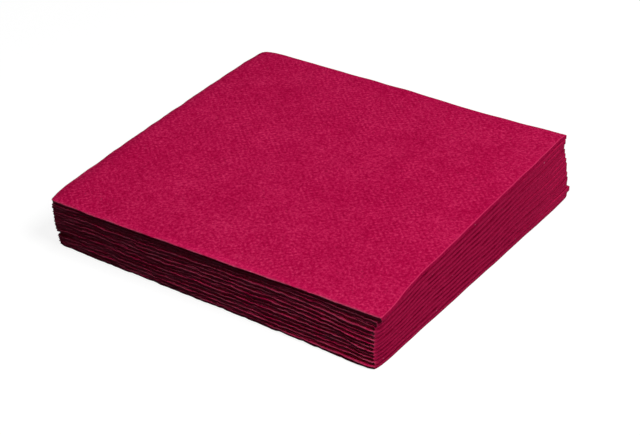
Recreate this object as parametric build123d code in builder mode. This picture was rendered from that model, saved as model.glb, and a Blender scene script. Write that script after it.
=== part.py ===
from build123d import *
import os
from math import cos, pi, sin

os.makedirs("parts", exist_ok=True)

# A square stack of paper napkins, each one sheet of tissue folded twice into four leaves.
# All sizes are in millimetres. X runs along the front of the stack, Y towards its back, and
# Z up from the surface that it rests on, below the middle of the stack.
#
# The first folds lie along the back, two to a napkin, and the last fold lies along the right,
# round all four leaves. The front and the left are the open sides with the cut edges, so the
# front left corner is loose and the back right corner is closed.

# The napkins
napkin_count = 13
folded_side = 165.0  # half the side of the open sheet
leaf_thickness = 0.36  # three plies, embossed together

# The air between two leaves, and between a napkin and the next
front_gap = 0.12
back_gap = 0.20  # the first folds hold the leaves further apart
pressed_flat = 0.02  # how far the surface below presses into the lowest leaf

# How the stack has been pushed out of true
lean_right = 2.6  # how far its foot stands out to the right of its top
lean_back = 1.4  # and behind its top
twist = 1.7  # degrees between the lowest napkin and the top one
stray = 0.35  # how far a single napkin lies from its place

half_side = folded_side / 2

# Where the sections lie round a first fold, as shares of a quarter turn
fold_turns = (0.0, 0.4, 0.7, 1.0)

# The nested outlines of a folded napkin: how many leaves and gaps each has on either side of
# the middle of the napkin's thickness
outside = (2, 1.5)
under_outer_leaves = (1, 1.5)
inner_pair = (1, 0.5)
between_inner_leaves = (0, 0.5)

# How far the cut for a gap starts outside the open sides
overcut = 1.0


def gap_over(spot):
    """The air between two leaves over one spot of the foot."""
    return front_gap + (back_gap - front_gap) * (spot.Y + half_side) / folded_side


def nested_outline(bed, number, y, start, outline, thinning):
    """Ends of an outline's upper and lower lines, from its open side to the fold, and the fold's tip."""
    leaves, gaps = outline
    gap = gap_over(bed.from_local_coords((half_side, y, 0)))
    fold = half_side - outside[0] * leaf_thickness - outside[1] * gap
    upper = []
    lower = []
    for x in (start, fold):
        gap = gap_over(bed.from_local_coords((x, y, 0)))
        underside = number * 4 * (leaf_thickness + gap) - pressed_flat
        middle = underside + outside[0] * leaf_thickness + outside[1] * gap
        half = leaves * leaf_thickness + gaps * gap - thinning
        upper.append((x, middle + half))
        lower.append((x, middle - half))
    return upper, lower, (fold + half, middle)


def folded_section(bed, number, y, start, outer_outline, inner_outline, thinning=0.0):
    """Section across the last fold: what lies between two nested outlines, open at the left."""
    upper, lower, tip = nested_outline(bed, number, y, start, outer_outline, thinning)
    inner_upper, inner_lower, inner_tip = nested_outline(bed, number, y, start, inner_outline, -thinning)
    with BuildSketch(Plane(bed.from_local_coords((0, y, 0)), x_dir=bed.x_dir, z_dir=-bed.y_dir)) as section:
        with BuildLine():
            Line(*upper)
            ThreePointArc(upper[-1], tip, lower[-1])
            Line(*lower)
            Line(lower[0], inner_lower[0])
            Line(*inner_lower)
            if inner_outline == between_inner_leaves:
                Line(inner_lower[-1], inner_upper[-1])  # the inner pair is creased sharply
            else:
                ThreePointArc(inner_lower[-1], inner_tip, inner_upper[-1])
            Line(*inner_upper)
            Line(inner_upper[0], upper[0])
        make_face()
    return section.sketch


for number in range(napkin_count):
    # The bed of this napkin: low is 1 for the lowest napkin and -1 for the top one
    low = 1 - 2 * number / (napkin_count - 1)
    right = low * lean_right / 2 + stray * sin(2.4 * number)
    back = low * lean_back / 2 + stray * cos(3.8 * number)
    bed = Plane.XY.rotated((0, 0, -low * twist / 2)).move(Location((right, back, 0)))

    # All four leaves, open between the inner two, and rounded along the back for the first folds
    first_folds = half_side - leaf_thickness
    leaves_along = [(-half_side, 0.0)]
    for turn in fold_turns:
        angle = turn * pi / 2
        leaves_along.append((first_folds + leaf_thickness * sin(angle), leaf_thickness * (1 - cos(angle))))

    # The gap inside the outer leaves runs round the inner pair and stops at the first folds
    gap_start = -half_side - overcut

    with BuildPart() as napkin:
        loft([folded_section(bed, number, y, -half_side, outside, between_inner_leaves, thinning)
              for y, thinning in leaves_along], ruled=True)
        loft([folded_section(bed, number, y, gap_start, under_outer_leaves, inner_pair)
              for y in (gap_start, first_folds)], ruled=True, mode=Mode.SUBTRACT)
        if number == 0:
            split(bisect_by=Plane.XY, keep=Keep.TOP)
    napkin.part.label = f"napkin_{number + 1:02d}"
    export_step(napkin.part, f"parts/{napkin.part.label}.step")
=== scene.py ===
import math
import bpy
import numpy as np
from mathutils import Matrix, Vector


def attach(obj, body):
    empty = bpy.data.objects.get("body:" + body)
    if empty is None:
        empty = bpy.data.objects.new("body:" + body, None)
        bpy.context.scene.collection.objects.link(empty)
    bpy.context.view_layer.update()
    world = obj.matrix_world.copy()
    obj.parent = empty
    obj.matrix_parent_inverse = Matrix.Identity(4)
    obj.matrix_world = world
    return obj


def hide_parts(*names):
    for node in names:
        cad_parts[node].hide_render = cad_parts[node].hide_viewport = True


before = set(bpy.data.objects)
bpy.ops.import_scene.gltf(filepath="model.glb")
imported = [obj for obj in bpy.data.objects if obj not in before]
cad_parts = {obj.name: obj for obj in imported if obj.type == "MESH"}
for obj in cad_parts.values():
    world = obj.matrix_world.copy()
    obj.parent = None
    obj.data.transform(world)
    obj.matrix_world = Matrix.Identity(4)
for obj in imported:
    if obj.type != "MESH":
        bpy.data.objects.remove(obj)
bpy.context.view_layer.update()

print("frame loaded,", len(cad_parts), "nodes")

# The stack in millimetres: X runs along its front, Y towards its back and Z up from the table.
# Each napkin is one sheet of tissue folded twice. The first folds lie along the back, the last
# fold lies along the right, and the cut edges are at the front and on the left.
stack = {
    "napkins": 13,
    "foldedSide": 165.0,
    "leaf": 0.36,  # three plies embossed together
    "frontGap": 0.12,  # air between two leaves at the front
    "backGap": 0.20,
    "pressedFlat": 0.02,  # taken off the lowest leaf by the table
    "leanRight": 2.6,  # the foot stands out this far to the right of the top
    "leanBack": 1.4,
    "twist": 1.7,  # degrees between the lowest napkin and the top one
}
halfSide = stack["foldedSide"] / 2
leaf = stack["leaf"]


def smoothCurve(points, x):
    # Formula: a smooth line through given (place, value) points, in cubic pieces whose slope at
    # each point comes from its two neighbours
    place, value = np.array(points, dtype=float).T
    slope = np.gradient(value, place)
    x = np.clip(x, place[0], place[-1])
    i = np.clip(np.searchsorted(place, x) - 1, 0, len(place) - 2)
    width = place[i + 1] - place[i]
    t = (x - place[i]) / width
    return ((1 + 2 * t) * (1 - t) ** 2 * value[i] + t * (1 - t) ** 2 * width * slope[i]
            + t * t * (3 - 2 * t) * value[i + 1] + t * t * (t - 1) * width * slope[i + 1])


def fade(distance, reach):
    # 1 at an edge, falling away from it as a bell with this reach
    return np.exp(-(distance / reach) ** 2)


# How the layers rise and sink, in millimetres, along the two sides that have been handled
layerWaves = {
    # along the front, by distance from the front left corner
    "front": [(0, -0.6), (11, 0.0), (60, 0.1), (100, 0.6), (124, 0.9), (142, 0.5), (154, -0.7),
              (165, -2.5)],
    # along the right side, by distance from the front right corner
    "right": [(0, -2.5), (12, -0.4), (30, 0.5), (60, -0.4), (91, -0.7), (113, -0.2), (141, -0.8),
              (165, -0.1)],
    "reach": 34.0,  # how far each goes into the stack
    "bulgePower": 1.6,  # above 1 they are strongest in the upper half
    # swells that grow with height
    "lift": 0.9,  # all over
    "crown": 0.3,  # in the middle
    "frontLoss": (0.35, 25.0),  # the share of the lift that is lost at the front, and its reach
    "leftRise": (1.2, 38.0),  # on the left, half way back, and its reach
    "backDip": (0.8, 30.0),  # at the back, and its reach
    "backDipPlace": (45.0, 32.0),  # how far from the right side, and how wide
    "nearCornerDip": (0.4, 22.0),
    "leftCornerDip": (0.5, 13.0),
    # how far the edges roll downwards at the open side and at the back, and from where
    "leftRoll": 1.4,
    "backRoll": 0.9,
    "rollReach": 2.4,
    # small waves (length, direction in degrees, turn per napkin, height)
    "ripples": [(23.0, 8.0, 0.50, 0.14), (17.0, 164.0, -0.42, 0.11), (31.0, 83.0, 0.33, 0.12),
                (20.0, 101.0, -0.47, 0.09), (46.0, 47.0, 0.21, 0.15), (38.0, 131.0, -0.26, 0.12)],
    "rippleRise": 3,  # they are full from a third of the way up
    "rippleCalm": 0.6,  # and this share of them is pressed out on top
    # uneven cut edges (length, size)
    "edgeRipples": [(6.5, 0.05), (11.0, 0.07), (19.0, 0.08), (41.0, 0.10)],
}


def layerHeights(x, y, z, level):
    # Formula: each layer is lifted by the side curves, which are strongest two thirds of the way up,
    # by swells, which grow with height, and by ripples, each a sine along its direction whose phase
    # turns from napkin to napkin. All of them are nothing on the table
    ceiling = stack["napkins"] * 4 * (leaf + gapAt(y))
    h = np.clip(z / ceiling, 0, 1)
    left, right = halfSide + x, halfSide - x
    front, back = halfSide + y, halfSide - y
    form = layerWaves

    def swell(name, distance):
        height, reach = form[name]
        return height * fade(distance, reach)

    def arch(distance):
        return np.sin(math.pi * np.clip(distance / stack["foldedSide"], 0, 1))

    # The side curves, blended where both reach; the tiny share keeps the blend defined far inside
    tiny = 1e-9
    nearFront, nearRight = fade(front, form["reach"]) + tiny, fade(right, form["reach"]) + tiny
    sides = smoothCurve(form["front"], left) * nearFront + smoothCurve(form["right"], front) * nearRight
    sides = sides / (nearFront + nearRight) * np.maximum(nearFront, nearRight)
    lift = sides * np.sin(math.pi * h ** form["bulgePower"])

    dipFromRight, dipWidth = form["backDipPlace"]
    lift += h * (form["lift"] * (1 - swell("frontLoss", front)) + swell("leftRise", left) * arch(front)
                 - swell("backDip", back) * fade(right - dipFromRight, dipWidth)
                 - swell("nearCornerDip", front + right)
                 - swell("leftCornerDip", front + left)
                 + form["crown"] * arch(left) * arch(front))
    lift -= h * h * (form["leftRoll"] * np.exp(-np.maximum(left, 0) / form["rollReach"])
                     + form["backRoll"] * np.exp(-np.maximum(back, 0) / form["rollReach"]))
    grown, calm = np.minimum(1, form["rippleRise"] * h), 1 - form["rippleCalm"] * h ** 3
    for length, direction, turn, height in form["ripples"]:
        a = math.radians(direction)
        along = (x * math.cos(a) + y * math.sin(a)) * 2 * math.pi / length
        lift += height * np.sin(along + turn * level + length) * grown * calm
    return lift


def gapAt(y):
    # The air between two leaves grows evenly from the front to the back
    return stack["frontGap"] + (stack["backGap"] - stack["frontGap"]) * (y + halfSide) / stack["foldedSide"]


# One napkin: how its four leaves lie and how its edges are worn
napkinForm = {
    # how far the cut edge of each leaf stands out: outer lower, inner lower, inner upper, outer upper
    "frontLips": (-0.20, -0.30, -0.25, 0.25),
    "leftLips": (0.05, -0.15, -0.20, 0.15),
    "looseLips": 0.05,  # how far a single leaf strays from those
    "looseMost": 0.2,
    "lipReach": 7.0,  # how far inwards a leaf is moved with its edge
    "lipsAtCorner": (0.7, 5.0),  # the share of the front lips that is lost at the left corner, and its reach
    "topOverhang": 0.8,  # the uppermost leaf covers the edges below it
    "overhangLeft": 34.0,  # it starts this far from the left corner
    "overhangRight": (0.65, 50.0),  # the share of it that is lost at the near corner, and its reach
    "topCalm": 0.7,  # the share of the ripples that its edge lacks
    "topAtLeft": (0.9, 45.0),  # it also stands out on the left, this far from the front
    "footAtNear": (1.1, 35.0),  # the lowest napkin stands out at the front, this far from the near corner
    # at the near corner the top napkin stands out to the right, and the ones below are pinched in
    "nearOut": (1.6, 18.0),
    "pinch": [(0, 0.0), (1, 0.7), (3, 1.4), (10, 1.4), (11, 0.5), (12, 0.0)],
    "pinchReach": 6.0,
    "stray": 0.09,  # how far a single napkin lies from its place
    "edgePress": (0.10, 4.0),  # the leaves close up by this share at the cut edges, and its reach
    # long waves of the four sides (length, size)
    "leftWave": (15, 0.12),
    "rightWaves": [(41, 0.08), (17, 0.05)],
    "backWaves": [(37, 0.10), (19, 0.08)],
    "noseCorner": 0.22,  # radius of the two creases round the last fold, 1 would make it a half circle
    "noseBulge": 0.05,  # of the face between them
    "noseFacePoint": 0.72,  # where that face has a row of points, from its middle to a crease
    "noseMask": (0.15, 0.3, 0.6, 0.7),  # before, at both ends of and behind a crease
    # how far the outer leaf rises over the last fold: at the front, how much more at the back, and its reach
    "shoulder": (0.25, 0.22, 3.0),
    # how far each corner is worn in, as (napkin, depth) pairs, and how far along the edges
    "corners": {"frontLeft": ([(0, 0.9), (2, 0.8), (3, 3.2), (4, 0.8), (6, 0.7), (8, 1.0), (11, 1.2),
                               (12, 2.1)], 4.5),
                "backLeft": ([(0, 1.0), (9, 0.8), (12, 0.0)], 4.0),
                "backRight": ([(0, 1.5), (1, 0.4), (2, 1.1), (3, 1.0), (4, 0.7), (7, 0.7), (9, 1.0),
                               (10, 0.8), (11, 0.4), (12, -0.1)], 3.5),
                "frontRight": ([(0, 0.9), (1, 0.4), (4, 0.2), (8, 0.6), (10, 0.4), (12, 0.3)], 2.5)},
    # at the back right the stack is three blocks of 4, 6 and 3 napkins
    "blockTops": (3, 9),
    "blockFeet": (0, 4, 10),
    "blockStep": (0.14, 60.0),  # how far the top of a block stands out, and how far forwards
    # how far the cut edges are crumpled up and down (length, size)
    "crumples": [(3.7, 0.08), (5.9, 0.09), (9.4, 0.09), (15.0, 0.07)],
    "crumpleReach": 3.5,
    "crumpleOnTop": 0.4,  # the share that the top napkin has
    "crumpleOffFold": 3,  # the last fold is left straight this far
    # where the mesh has its rows of points: in from a cut edge, in from a fold, and evenly between
    "edgeStations": (0, 0.4, 1.2, 2.6, 4.6, 7.5, 11.0),
    "foldStations": (0, 0.5, 1.2, 2.4, 4.6, 7.5, 11.0),
    "steps": (1.9, 5.5),  # along the front and along the right side
    "topSteps": (1.9, 2.6),
    "firstFoldPoints": 9,
    "noseArcPoints": 5,
    "nominalFold": 80.9,  # about where the last fold starts; each leaf's own place replaces it
}

# Masks for the material, from 0 to 1: wear, and where painted highlights and shade go
napkinWearAndLight = {
    "tornReach": 0.38,  # how far in from a cut edge the fibres are loose
    "tornOffNose": 0.35,  # the share of that which the last fold lacks
    # a painted highlight along the front rim: how far in, how wide, its least and what is added further right
    "rimAt": 1.5,
    "rimWidth": 1.7,
    "rimLeast": 0.35,
    "rimMore": 0.65,
    "rimMoreAt": (95, 38),
    # round the last fold the mask starts here, and higher where the grooves close up, which narrows their
    # painted shade
    "noseStart": 0.575,
    "closedAtBack": (0.06, 45),  # how much, and its reach
    "closedInBlock": 0.035,  # more than that inside a block
    "closedAtFront": (0.15, 1.2),
    "farFromCut": 99.0,  # the distance that stands for no cut near by
}


def stations(start, end, nearStart, nearEnd, step):
    # Places along a leaf, close together at its ends and evenly spread between
    a = start + np.array(nearStart)
    b = end - np.array(nearEnd)[::-1]
    count = int(round((b[0] - a[-1]) / step))
    return np.concatenate([a, np.linspace(a[-1], b[0], count + 1)[1:-1], b])


def nosePath():
    # Formula: from the lower face to the upper one round the last fold, as shares of the fold's
    # half thickness: out along a flat, round a small corner, up a slightly bulging face and back
    # the same way. The third share is the mask, from 0 on the flats to 1 at the tip
    c = napkinForm["noseCorner"]
    points = napkinForm["noseArcPoints"]
    arc = np.linspace(0, math.pi / 2, points)
    x = np.concatenate([[0, 0.5 * (1 - c)], 1 - c + c * np.sin(arc), [1.0]])
    z = np.concatenate([[1, 1], 1 - c + c * np.cos(arc), [napkinForm["noseFacePoint"] * (1 - c)]])
    before, atStart, atEnd, behind = napkinForm["noseMask"]
    tip = np.concatenate([[0, before], np.linspace(atStart, atEnd, points), [behind]])
    x = x - napkinForm["noseBulge"] * z ** 4
    return (np.concatenate([x, [1.0], x[::-1]]), np.concatenate([-z, [0.0], z[::-1]]),
            np.concatenate([tip, [1.0], tip[::-1]]))


def napkinSurface(steps):
    # Formula: a profile (v, height off the middle) runs round a pair of leaves joined by a first
    # fold: out along the outer face, round the fold and back along the inner one, then home on the
    # faces between them. It is carried along a path that follows the lower half of the napkin to
    # the right, round the last fold, and back along the upper half. Height off the middle is the
    # radius of the last fold too, so the leaves nest
    foldBack = halfSide - leaf - stack["backGap"] / 2
    v = stations(-halfSide, foldBack, napkinForm["edgeStations"], napkinForm["foldStations"], steps[1])
    turn = np.linspace(0, math.pi, napkinForm["firstFoldPoints"])[1:-1]

    # The profile's centre line: place v, rise from the inner leaf to the outer one, how far back, the
    # length along it, which is about 2.5 leaves round the fold, and the distance from the front cut
    one, zero = np.ones_like(v), np.zeros_like(v)
    centreV = np.concatenate([v, np.full(len(turn), foldBack), v[::-1]])
    outward = np.concatenate([one, np.cos(turn), -one])  # 1 on the outer leaf, -1 on the inner one
    backward = np.concatenate([zero, np.sin(turn), zero])
    along = np.concatenate([v, foldBack + turn * leaf * 0.8, 2 * foldBack + leaf * 2.5 - v[::-1]])
    noCut = np.full(len(turn), napkinWearAndLight["farFromCut"])
    cut = np.concatenate([v + halfSide, noCut, (v + halfSide)[::-1]])
    centreV, outward, backward, along, cut = (
        np.concatenate([a, a[::-1]]) for a in (centreV, outward, backward, along, cut))
    face = np.concatenate([np.ones(len(centreV) // 2), -np.ones(len(centreV) // 2)])

    # The path: u on the lower half, the turn of the last fold, and u on the upper half
    noseX, noseZ, noseTip = nosePath()
    gapRight = gapAt(centreV)
    foldRight = (halfSide - 2 * leaf - 1.5 * gapRight)[None, :]
    nominal = napkinForm["nominalFold"]
    share = stations(-halfSide, nominal, napkinForm["edgeStations"], napkinForm["foldStations"], steps[0])
    share = (share + halfSide) / (nominal + halfSide)
    flat = np.zeros_like(share)
    u = np.concatenate([share, np.ones(len(noseX) - 2), share[::-1]])[:, None]
    outShare, riseShare, tipShare = (np.concatenate(part)[:, None] for part in (
        (flat, noseX[1:-1], flat), (flat - 1, noseZ[1:-1], flat + 1), (flat, noseTip[1:-1], flat)))
    u = -halfSide + u * (foldRight + halfSide)

    # Place on the bed and height off the middle of the napkin
    gap = gapAt(centreV)[None, :]
    pairMiddle = leaf + gap
    pairRadius = (leaf + gap) / 2
    height = pairMiddle + outward * (pairRadius + face * leaf / 2)
    vv = centreV + backward * (pairRadius + face * leaf / 2) + 0 * u
    uu = u + height * outShare
    signedHeight = height * riseShare
    atFront, moreAtBack, reach = napkinForm["shoulder"]
    swell = fade(np.maximum(foldRight - u, 0), reach) * (outward > 0) * (face > 0)
    swell = swell * (atFront + moreAtBack * (vv + halfSide) / stack["foldedSide"])
    signedHeight = signedHeight * (1 + gap / (2 * leaf + 1.5 * gap) * swell)

    # Flat sheet place, for patterns that follow the folded tissue
    pathLength = np.concatenate([[0], np.cumsum(np.hypot(np.diff(uu[:, 0]), np.diff(signedHeight[:, 0])))])
    sheetU = (pathLength - pathLength[-1] / 2)[:, None] + 0 * uu
    sheetV = along[None, :] + 0 * uu
    cutFront = cut[None, :] + 0 * uu
    cutLeft = halfSide + u + 0 * uu

    # Masks: wear near a cut edge, a painted highlight along the front rim, and the way up round the nose of
    # the last fold, 1 at its tip
    wearAndLight = napkinWearAndLight
    outside = (outward > 0) * (face > 0) + 0 * uu
    nose = outside * tipShare
    tornAndSheen = np.exp(-np.minimum(cutFront, cutLeft) / wearAndLight["tornReach"]) * (1 - wearAndLight["tornOffNose"] * nose)
    moreFrom, moreReach = wearAndLight["rimMoreAt"]
    rimHighlight = (outside * np.exp(-((cutFront - wearAndLight["rimAt"]) / wearAndLight["rimWidth"]) ** 2)
           * (wearAndLight["rimLeast"] + wearAndLight["rimMore"] * fade(cutLeft - moreFrom, moreReach)))
    outer = outward[None, :] + 0 * uu
    return uu, vv, signedHeight, sheetU, sheetV, outer, np.stack([tornAndSheen, rimHighlight, nose], axis=-1)


def waves(place, parts, starts):
    # Formula: a sum of sines, each with its own (length, size) and start
    return sum(size * np.sin(2 * math.pi * place / length + start)
               for (length, size), start in zip(parts, starts))


napkinApart = 50.0  # the patterns of two napkins lie this far from each other


def layNapkin(number):
    # Formula: the folded napkin is laid on its bed, then its lips, corners and waves are added
    form = napkinForm
    top = number == stack["napkins"] - 1
    u, v, rise, sheetU, sheetV, outer, wearAndLightMasks = napkinSurface(form["topSteps" if top else "steps"])
    low = 1 - 2 * number / (stack["napkins"] - 1)
    rng = np.random.default_rng(40 + number)  # each napkin has its own seed
    starts = rng.uniform(0, 2 * math.pi, 12)[4:9]  # five of twelve draws start the long waves

    # Four values, one to a leaf from the lowest up, blended round the folds
    upper = 0.5 + 0.5 * np.clip(rise / leaf, -1, 1)
    isOuter = 0.5 + 0.5 * np.clip(outer, -1, 1)

    def perLeaf(values):
        a, b, c, d = values
        return (1 - upper) * (a * isOuter + b * (1 - isOuter)) + upper * (c * (1 - isOuter) + d * isOuter)

    front, left, right, back = halfSide + v, halfSide + u, halfSide - u, halfSide - v

    # Heights
    g = gapAt(v)
    share, reach = form["edgePress"]
    press = share * (fade(front, reach) + fade(left, reach))
    middle = number * 4 * (leaf + g) - stack["pressedFlat"] + 2 * leaf + 1.5 * g
    z = middle + rise * (1 - press)
    crumple = waves(u + v, form["crumples"], rng.uniform(0, 6.28, 4))
    near = np.minimum(front, left) / form["crumpleReach"]
    z = (z + crumple * np.exp(-near) * (form["crumpleOnTop"] if top else 1)
         * (1 - fade(right, form["crumpleOffFold"])))

    # Lips and uneven edges, each leaf with its own
    loose = np.clip(rng.normal(0, form["looseLips"], 4), -form["looseMost"], form["looseMost"])
    ripples = [waves(u, layerWaves["edgeRipples"], rng.uniform(0, 6.28, 4)) for _ in range(4)]
    calm = 1 - form["topCalm"] * upper * isOuter if top else 1
    share, reach = form["lipsAtCorner"]
    frontOut = perLeaf(form["frontLips"] + loose) + perLeaf(ripples) * calm
    frontOut = frontOut * (1 - share * fade(left, reach))
    length, size = form["leftWave"]
    sideOut = (perLeaf(form["leftLips"] + loose)
               + size * np.sin(2 * math.pi * v / length + starts[0] + 2 * upper))
    rightOut = waves(v, form["rightWaves"], starts[1:3])
    backOut = waves(u, form["backWaves"], starts[3:5])

    def standsOut(name, distance):
        size, reach = form[name]
        return size * fade(distance, reach)

    if top:
        frontOut = frontOut + form["topOverhang"] * upper * isOuter * (
            1 - fade(left, form["overhangLeft"]) - standsOut("overhangRight", right))
        sideOut = sideOut + standsOut("topAtLeft", front)
        rightOut = rightOut + standsOut("nearOut", front)
    if number == 0:
        frontOut = frontOut + standsOut("footAtNear", right)
    rightOut = rightOut - np.interp(number, *zip(*form["pinch"])) * np.exp(-front / form["pinchReach"])
    if number in form["blockTops"]:
        rightOut = rightOut + standsOut("blockStep", back)
    reach = form["lipReach"]
    x = u - sideOut * fade(left, reach) + rightOut * fade(right, reach)
    y = v - frontOut * fade(front, reach) + backOut * fade(back, reach)

    # The grooves round the last fold close up towards the back, most within a block, and at the front cut, so
    # their painted shade is narrower there
    if not top:
        (atBack, backReach), (atFront, frontReach) = napkinWearAndLight["closedAtBack"], napkinWearAndLight["closedAtFront"]
        inBlock = np.where(rise > 0, number not in form["blockTops"], number not in form["blockFeet"])
        closing = atBack + napkinWearAndLight["closedInBlock"] * inBlock
        closed = napkinWearAndLight["noseStart"] + closing * fade(back, backReach) + atFront * fade(front, frontReach)
        nose = wearAndLightMasks[..., 2]
        wearAndLightMasks[..., 2] = np.where(nose > 0, np.maximum(nose, closed), 0)

    # Worn corners
    for name, dx, dy in (("frontLeft", 1, 1), ("backLeft", 1, -1),
                         ("backRight", -1, -1), ("frontRight", -1, 1)):
        depths, length = form["corners"][name]
        a = left if dx > 0 else right
        b = front if dy > 0 else back
        pull = np.interp(number, *zip(*depths)) * np.exp(-(a + b) / length)
        x = x + dx * pull
        y = y + dy * pull

    z = z + layerHeights(x, y, np.maximum(z, 0), z / (4 * (leaf + g)))

    # The bed: lean, twist and stray, with the turns that the solids have
    turn = math.radians(-low * stack["twist"] / 2)
    shiftX = low * stack["leanRight"] / 2 + form["stray"] * math.sin(2.4 * number)
    shiftY = low * stack["leanBack"] / 2 + form["stray"] * math.cos(3.8 * number)
    xx = x * math.cos(turn) - y * math.sin(turn) + shiftX
    yy = x * math.sin(turn) + y * math.cos(turn) + shiftY
    zz = np.maximum(z, 0.0)
    sheetPlace = np.stack([sheetU, sheetV, napkinApart * number + 0 * u], axis=-1)
    return np.stack([xx, yy, zz], axis=-1), sheetPlace, wearAndLightMasks


def sheetMesh(name, points, sheetPlace, wearAndLightMasks):
    # The grid closes round the profile; strips of faces close the two open ends on the left
    rows, columns = points.shape[:2]
    index = np.arange(rows * columns).reshape(rows, columns)
    nextColumn = np.roll(index, -1, axis=1)
    body = np.stack([index[:-1], index[1:], nextColumn[1:], nextColumn[:-1]], axis=-1).reshape(-1, 4)
    half = columns // 2
    partner = index[:, ::-1]
    here, onward = slice(0, half - 1), slice(1, half)
    caps = [np.stack([index[row, a], index[row, b], partner[row, b], partner[row, a]], axis=-1)
            for row, a, b in ((0, here, onward), (-1, onward, here))]
    faces = np.concatenate([body, *caps])

    mesh = bpy.data.meshes.new(name)
    mesh.vertices.add(rows * columns)
    mesh.vertices.foreach_set("co", (points * 0.001).astype(np.float32).ravel())
    mesh.loops.add(faces.size)
    mesh.loops.foreach_set("vertex_index", faces.astype(np.int32).ravel())
    mesh.polygons.add(len(faces))
    mesh.polygons.foreach_set("loop_start", np.arange(0, faces.size, 4, dtype=np.int32))
    mesh.polygons.foreach_set("use_smooth", np.ones(len(faces), dtype=bool))
    place = mesh.attributes.new("sheetPlace", "FLOAT_VECTOR", "POINT")
    place.data.foreach_set("vector", (sheetPlace * 0.001).astype(np.float32).ravel())
    wearAndLight = mesh.attributes.new("wearAndLight", "FLOAT_VECTOR", "POINT")
    wearAndLight.data.foreach_set("vector", wearAndLightMasks.astype(np.float32).ravel())
    mesh.update(calc_edges=True)
    mesh.validate()
    piece = bpy.data.objects.new(name, mesh)
    bpy.context.scene.collection.objects.link(piece)
    return piece


# The tissue: a node group gives heights and masks, and the material makes its colours from them
def newGroup(name, inputs, outputs):
    group = bpy.data.node_groups.new(name, "ShaderNodeTree")
    for way, sockets in (("INPUT", inputs), ("OUTPUT", outputs)):
        for title, kind in sockets:
            group.interface.new_socket(name=title, in_out=way, socket_type=kind)
    return group, group.nodes.new("NodeGroupInput"), group.nodes.new("NodeGroupOutput")


def mathNode(tree, operation, a, b=None, clamp=False):
    # a and b are numbers or sockets
    node = tree.nodes.new("ShaderNodeMath")
    node.operation = operation
    node.use_clamp = clamp
    for socket, value in zip(node.inputs, (a, b)):
        if value is None:
            continue
        if isinstance(value, (int, float)):
            socket.default_value = value
        else:
            tree.links.new(value, socket)
    return node.outputs[0]


tissueLook = {
    "light": (0.700, 0.0080, 0.106, 1),  # raised fibres
    "deep": (0.300, 0.0001, 0.028, 1),  # in the hollows
    "fuzz": (0.780, 0.0550, 0.170, 1),  # the highest fibres, where the dye is thin; this colour also paints the crease highlight
    "tornAndSheen": (0.500, 0.110, 0.185, 1),  # loose fibres at the cut edges, paler in themselves and with a painted sheen
    "speck": (0.750, 0.240, 0.380, 1),  # lint
    "grooveShade": (0.150, 0.0001, 0.016, 1),  # painted shade between two folded edges
    # pressed rows of dots on both diagonals, with patches where they are strong (sizes in metres)
    "rowPitch": 0.00205,
    "rowDepth": 0.22,
    "patchSize": 0.035,
    "patchGain": 2.2,
    "patchLeast": 0.6,
    # loose grain and slow clouds
    "grainSize": 0.00115,
    "grainDepth": 4.4,
    "cloudSize": 0.016,
    "cloudDepth": 0.34,
    "toneGain": 0.45,  # how strongly dots and grain show in the colour
    # the highest fibres
    "fuzzStart": 0.03,
    "fuzzAmount": 1.2,
    "rimHighlightTone": 0.30,  # how much lighter the painted highlight makes the front rim
    # round the last fold
    "noseGain": 4.0,  # how soon the grain is pressed out there
    "smoothNose": 0.6,  # and how much of it
    "noseEdge": 0.02,  # the mask's value where the fold starts
    "noseFuzz": 0.12,
    "creaseAt": 0.38,  # where the painted highlight on the top napkin's crease lies, of the way from the flat to the tip
    "creaseWidth": 0.22,
    "creaseHighlightStrength": 0.6,
    "grooveEnd": 0.70,  # painted shade on the lower napkins reaches up to here
    "grooveEdge": 8.0,
    "grooveLeast": 0.6,
    "grooveMore": 0.35,
    # the cut edges
    "raggedSize": 0.007,
    "raggedGain": 3.0,
    "raggedLeast": 0.6,
    "tornAmount": 0.75,
    # lint: cells to a metre, radius and softness of a speck in its cell, and which cells have none
    "lintCells": 200,
    "lintRadius": 0.075,
    "lintEdge": 30,
    "lintNone": 0.6,
    "roughness": 0.92,
    "specular": 0.01,
    "bump": 0.8,
    "bumpDistance": 0.00012,
}

# The emboss group's inputs and the values that the tissue gives them
embossInputs = {"Row Pitch": "rowPitch", "Row Depth": "rowDepth", "Grain Size": "grainSize",
                "Grain Depth": "grainDepth", "Cloud Size": "cloudSize"}


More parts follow.
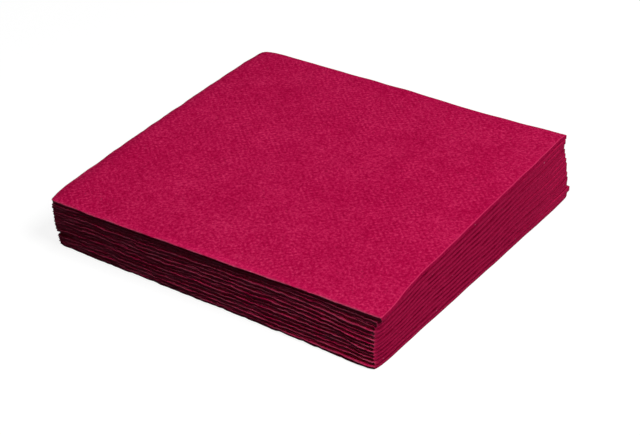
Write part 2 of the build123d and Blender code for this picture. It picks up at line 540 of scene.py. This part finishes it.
def embossGroup():
    # Rows of pressed dots on both diagonals of the sheet, loose grain over them, and slow clouds
    look = tissueLook
    inputs = [("Place", "NodeSocketVector")] + [(title, "NodeSocketFloat") for title in embossInputs]
    outputs = [(title, "NodeSocketFloat") for title in ("Height", "Tone", "Ragged", "Lint")]
    group, given, out = newGroup("tissue emboss", inputs, outputs)
    link = group.links.new
    place = given.outputs["Place"]

    def times(a, b, clamp=False):
        return mathNode(group, "MULTIPLY", a, b, clamp)

    def plus(a, b, clamp=False):
        return mathNode(group, "ADD", a, b, clamp)

    # Dots: the mean of two cosines, one along each diagonal, strongest in patches
    parts = group.nodes.new("ShaderNodeSeparateXYZ")
    link(place, parts.inputs[0])
    turns = mathNode(group, "DIVIDE", math.pi * math.sqrt(2), given.outputs["Row Pitch"])
    rows = plus(parts.outputs[0], parts.outputs[1])
    columns = mathNode(group, "SUBTRACT", parts.outputs[0], parts.outputs[1])
    rows = mathNode(group, "COSINE", times(rows, turns))
    columns = mathNode(group, "COSINE", times(columns, turns))
    dots = times(plus(rows, columns), 0.5)

    def noise(size, detail, rough):
        node = group.nodes.new("ShaderNodeTexNoise")
        node.inputs["Detail"].default_value = detail
        node.inputs["Roughness"].default_value = rough
        link(place, node.inputs["Vector"])
        link(mathNode(group, "DIVIDE", 1.0, size), node.inputs["Scale"])
        return mathNode(group, "SUBTRACT", node.outputs["Fac"], 0.5)

    patches = times(noise(look["patchSize"], detail=1, rough=0.5), look["patchGain"])
    patches = plus(patches, look["patchLeast"], clamp=True)
    dots = times(times(dots, patches), given.outputs["Row Depth"])
    grain = times(noise(given.outputs["Grain Size"], detail=4, rough=0.8), given.outputs["Grain Depth"])
    cloud = times(noise(given.outputs["Cloud Size"], detail=3, rough=0.6), look["cloudDepth"])
    height = mathNode(group, "SUBTRACT", grain, dots)
    link(height, out.inputs["Height"])
    link(plus(times(height, look["toneGain"]), plus(cloud, 0.5), clamp=True), out.inputs["Tone"])

    # Ragged: where the loose fibres of a cut edge stand thick or thin
    ragged = times(noise(look["raggedSize"], detail=2, rough=0.6), look["raggedGain"])
    link(plus(ragged, look["raggedLeast"], clamp=True), out.inputs["Ragged"])

    # Lint: a tiny round speck in some of the cells of a loose net
    net = group.nodes.new("ShaderNodeTexVoronoi")
    net.inputs["Scale"].default_value = look["lintCells"]
    link(place, net.inputs["Vector"])
    chosen = group.nodes.new("ShaderNodeSeparateXYZ")
    link(net.outputs["Color"], chosen.inputs[0])
    inSpeck = mathNode(group, "SUBTRACT", look["lintRadius"], net.outputs["Distance"])
    some = mathNode(group, "GREATER_THAN", chosen.outputs[0], look["lintNone"])
    link(times(times(inSpeck, look["lintEdge"], clamp=True), some), out.inputs["Lint"])
    return group


def colourMix(tree, amount, a, b):
    node = tree.nodes.new("ShaderNodeMix")
    node.data_type = "RGBA"
    for socket, value in ((node.inputs["Factor"], amount), (node.inputs["A"], a), (node.inputs["B"], b)):
        if isinstance(value, (int, float, tuple)):
            socket.default_value = value
        else:
            tree.links.new(value, socket)
    return node.outputs["Result"]


def tissueMaterial():
    look = tissueLook
    material = bpy.data.materials.new("crimson tissue")
    material.use_nodes = True
    tree = material.node_tree
    shader = tree.nodes["Principled BSDF"]
    link = tree.links.new
    place = tree.nodes.new("ShaderNodeAttribute")
    place.attribute_name = "sheetPlace"
    wearAndLight = tree.nodes.new("ShaderNodeAttribute")
    wearAndLight.attribute_name = "wearAndLight"
    masks = tree.nodes.new("ShaderNodeSeparateXYZ")
    link(wearAndLight.outputs["Vector"], masks.inputs[0])
    emboss = tree.nodes.new("ShaderNodeGroup")
    emboss.node_tree = embossGroup()
    link(place.outputs["Vector"], emboss.inputs["Place"])
    for title, key in embossInputs.items():
        emboss.inputs[title].default_value = look[key]
    atCut, onRimHighlight, upNose = masks.outputs

    def times(a, b, clamp=False):
        return mathNode(tree, "MULTIPLY", a, b, clamp)

    def plus(a, b, clamp=False):
        return mathNode(tree, "ADD", a, b, clamp)

    def minus(a, b, clamp=False):
        return mathNode(tree, "SUBTRACT", a, b, clamp)

    # The grain is pressed out round the last fold, and the front rim gets a lighter painted highlight
    pressed = times(times(upNose, look["noseGain"], clamp=True), look["smoothNose"])
    grain = times(minus(emboss.outputs["Tone"], 0.5), minus(1.0, pressed))
    tone = plus(plus(grain, 0.5), times(onRimHighlight, look["rimHighlightTone"]), clamp=True)
    dyeAndPaintedLight = colourMix(tree, tone, look["deep"], look["light"])
    fuzz = times(plus(grain, look["fuzzStart"]), look["fuzzAmount"], clamp=True)
    dyeAndPaintedLight = colourMix(tree, fuzz, dyeAndPaintedLight, look["fuzz"])

    # The top napkin's shoulder crease gets a painted highlight, a lighter line in the fuzz colour
    parts = tree.nodes.new("ShaderNodeSeparateXYZ")
    link(place.outputs["Vector"], parts.inputs[0])
    topPlace = 0.001 * napkinApart * (stack["napkins"] - 1.5)
    isTop = mathNode(tree, "GREATER_THAN", parts.outputs[2], topPlace)
    offCrease = mathNode(tree, "ABSOLUTE", minus(upNose, look["creaseAt"]))
    creaseHighlight = minus(1.0, mathNode(tree, "DIVIDE", offCrease, look["creaseWidth"]), clamp=True)
    creaseHighlight = times(creaseHighlight, times(isTop, look["creaseHighlightStrength"]))
    dyeAndPaintedLight = colourMix(tree, creaseHighlight, dyeAndPaintedLight, look["fuzz"])

    # The grooves between the folded edges of the others get a dark painted shade
    onNose = times(mathNode(tree, "GREATER_THAN", upNose, look["noseEdge"]), minus(1.0, isTop))
    dyeAndPaintedLight = colourMix(tree, times(onNose, look["noseFuzz"]), dyeAndPaintedLight, look["fuzz"])
    grooveShade = times(minus(look["grooveEnd"], upNose), look["grooveEdge"], clamp=True)
    uneven = plus(times(emboss.outputs["Ragged"], look["grooveMore"]), look["grooveLeast"])
    dyeAndPaintedLight = colourMix(tree, times(times(grooveShade, onNose), uneven), dyeAndPaintedLight, look["grooveShade"])

    # The cut edges are paler where they're ragged, from loose fibres and a painted sheen, and lint clings to
    # the folds
    ragged = times(times(atCut, emboss.outputs["Ragged"]), look["tornAmount"])
    wornWithPaintedLight = colourMix(tree, ragged, dyeAndPaintedLight, look["tornAndSheen"])
    lint = times(emboss.outputs["Lint"], upNose)
    link(colourMix(tree, lint, wornWithPaintedLight, look["speck"]), shader.inputs["Base Color"])

    shader.inputs["Roughness"].default_value = look["roughness"]
    shader.inputs["Specular IOR Level"].default_value = look["specular"]
    bump = tree.nodes.new("ShaderNodeBump")
    bump.inputs["Strength"].default_value = look["bump"]
    bump.inputs["Distance"].default_value = look["bumpDistance"]
    link(emboss.outputs["Height"], bump.inputs["Height"])
    link(bump.outputs["Normal"], shader.inputs["Normal"])
    return material


tissue = tissueMaterial()
for number in range(stack["napkins"]):
    node = f"napkin_{number + 1:02d}"
    points, sheetPlace, wearAndLightMasks = layNapkin(number)
    piece = sheetMesh(f"tissue_{node}", points, sheetPlace, wearAndLightMasks)
    piece.data.materials.append(tissue)
    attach(piece, "root")
    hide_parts(node)
print("napkins laid,", stack["napkins"])

# Studio: a pale floor, a white surround and plain lamps
studio = {
    "floorSize": 3.0,
    "floorBelow": 0.0002,
    "floorPale": (0.22, 0.22, 0.22, 1),  # what takes the shadow
    "floorGlow": 0.86,  # and what is added to it for the camera
    "floorShade": (0.06, 0.06, 0.06, 1),  # what it throws back
    "ambient": 0.04,
    # (name, direction to the lamp, distance, size, power)
    "lamps": [
        ("key from the right", (0.595, -0.120, 0.79), 1.3, 0.6, 13.9),
        ("fill from behind", (0.0, 0.25, 0.97), 1.4, 0.30, 1.7),
        ("fill from the front", (-0.10, -0.36, 0.92), 1.4, 0.30, 1.6),
    ],
}


def seenRays(tree):
    # 1 for the camera's own rays and for those that reach it by mirrors or through glass
    path = tree.nodes.new("ShaderNodeLightPath")
    passedOn = mathNode(tree, "MAXIMUM", path.outputs["Is Glossy Ray"], path.outputs["Is Transmission Ray"])
    return mathNode(tree, "MAXIMUM", path.outputs["Is Camera Ray"], passedOn)


def paleFloor():
    mesh = bpy.data.meshes.new("floor")
    side = studio["floorSize"] / 2
    mesh.from_pydata([(-side, -side, 0), (side, -side, 0), (side, side, 0), (-side, side, 0)], [],
                     [(0, 1, 2, 3)])
    floor = bpy.data.objects.new("floor", mesh)
    floor.location = (0, 0, -studio["floorBelow"])
    bpy.context.scene.collection.objects.link(floor)
    material = bpy.data.materials.new("pale floor")
    material.use_nodes = True
    tree = material.node_tree
    tree.nodes.remove(tree.nodes["Principled BSDF"])
    # The camera and mirrors see it near white with its shadow; it throws little light back
    pale = tree.nodes.new("ShaderNodeBsdfDiffuse")
    pale.inputs["Color"].default_value = studio["floorPale"]
    glow = tree.nodes.new("ShaderNodeEmission")
    glow.inputs["Strength"].default_value = studio["floorGlow"]
    both = tree.nodes.new("ShaderNodeAddShader")
    tree.links.new(pale.outputs[0], both.inputs[0])
    tree.links.new(glow.outputs[0], both.inputs[1])
    shade = tree.nodes.new("ShaderNodeBsdfDiffuse")
    shade.inputs["Color"].default_value = studio["floorShade"]
    choose = tree.nodes.new("ShaderNodeMixShader")
    tree.links.new(seenRays(tree), choose.inputs["Fac"])
    tree.links.new(shade.outputs[0], choose.inputs[1])
    tree.links.new(both.outputs[0], choose.inputs[2])
    tree.links.new(choose.outputs[0], tree.nodes["Material Output"].inputs["Surface"])
    mesh.materials.append(material)


def whiteSurround():
    world = bpy.data.worlds.new("studio")
    bpy.context.scene.world = world
    world.use_nodes = True
    tree = world.node_tree
    background = tree.nodes["Background"]
    background.inputs["Color"].default_value = (1, 1, 1, 1)
    # White to the camera, and a faint light on the object
    ambient = studio["ambient"]
    strength = mathNode(tree, "ADD", mathNode(tree, "MULTIPLY", seenRays(tree), 1 - ambient), ambient)
    tree.links.new(strength, background.inputs["Strength"])


def softLamp(name, direction, distance, size, power):
    lamp = bpy.data.lights.new(name, "AREA")
    lamp.shape = "DISK"
    lamp.size = size
    lamp.energy = power
    holder = bpy.data.objects.new(name, lamp)
    way = Vector(direction).normalized()
    turned = way.to_track_quat("Z", "Y").to_matrix().to_4x4()
    holder.matrix_world = Matrix.Translation(way * distance) @ turned
    bpy.context.scene.collection.objects.link(holder)


paleFloor()
whiteSurround()
for lamp in studio["lamps"]:
    softLamp(*lamp)
print("studio lit")

# The camera stands to the front right, above the stack. Angles are in degrees, the lens is in
# millimetres and the rest in metres
viewpoint = {
    "azimuth": 33.38,
    "elevation": 31.10,
    "roll": 0.03,
    "lens": 97.29,
    "distance": 0.7663,
    "target": (-0.0013, -0.0007, 0.0124),
    "aside": 0.00273,
    "up": -0.01021,
    "nearClip": 0.05,
}


def photographCamera():
    # Formula: back is the way from the target to the camera, and right lies level across it. Right
    # and up are rolled about back; the camera steps along them and stands back by the distance
    a, e, r = (math.radians(viewpoint[k]) for k in ("azimuth", "elevation", "roll"))
    back = Vector((math.sin(a) * math.cos(e), -math.cos(a) * math.cos(e), math.sin(e)))
    right = Vector((0, 0, 1)).cross(back).normalized()
    up = back.cross(right)
    rolledRight = math.cos(r) * right + math.sin(r) * up
    rolledUp = -math.sin(r) * right + math.cos(r) * up
    place = (Vector(viewpoint["target"]) + viewpoint["aside"] * rolledRight
             + viewpoint["up"] * rolledUp + viewpoint["distance"] * back)
    data = bpy.data.cameras.new("camera")
    data.lens = viewpoint["lens"]
    data.clip_start = viewpoint["nearClip"]
    camera = bpy.data.objects.new("camera", data)
    turned = Matrix((rolledRight, rolledUp, back)).transposed().to_4x4()
    camera.matrix_world = Matrix.Translation(place) @ turned
    bpy.context.scene.collection.objects.link(camera)
    bpy.context.scene.camera = camera


photographCamera()
bpy.context.scene.view_settings.view_transform = "Standard"
